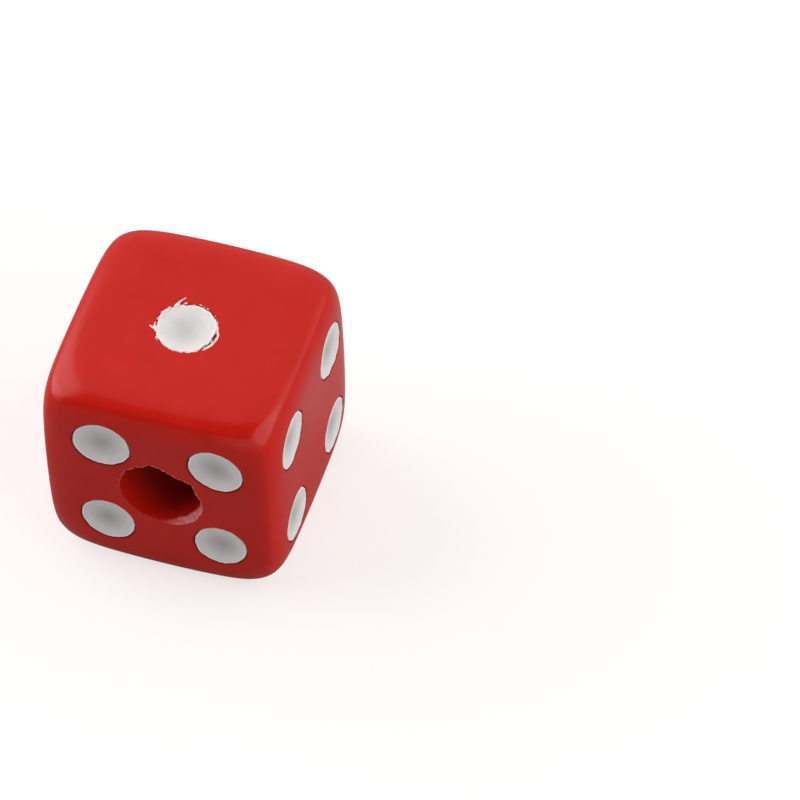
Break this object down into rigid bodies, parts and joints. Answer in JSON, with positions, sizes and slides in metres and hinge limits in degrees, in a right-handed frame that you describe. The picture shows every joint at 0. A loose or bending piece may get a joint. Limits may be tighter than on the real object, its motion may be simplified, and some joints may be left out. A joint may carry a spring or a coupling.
{
  "type": "dice bead",
  "caption": "Red plastic six-sided die with rounded edges and dished white pips, drilled through from the five to the two so that it threads on a cord.",
  "frame": {"origin": "centre of the cube", "axes": "+Z out of the one, -Y out of the five, +X out of the four; the bore runs along Y"},
  "size_m": [0.008, 0.008, 0.008],
  "materials": {
    "red_plastic": "tumbled semi-gloss",
    "white_paint": "satin"
  },
  "bodies": {
    "root": {"die_body": "red_plastic", "pip_one_1": "white_paint", "pip_two_1": "white_paint", "pip_two_2": "white_paint", "pip_three_1": "white_paint", "pip_three_2": "white_paint", "pip_three_3": "white_paint", "pip_four_1": "white_paint", "pip_four_2": "white_paint", "pip_four_3": "white_paint", "pip_four_4": "white_paint", "pip_five_1": "white_paint", "pip_five_2": "white_paint", "pip_five_3": "white_paint", "pip_five_4": "white_paint", "pip_six_1": "white_paint", "pip_six_2": "white_paint", "pip_six_3": "white_paint", "pip_six_4": "white_paint", "pip_six_5": "white_paint", "pip_six_6": "white_paint"}
  },
  "joints": []
}
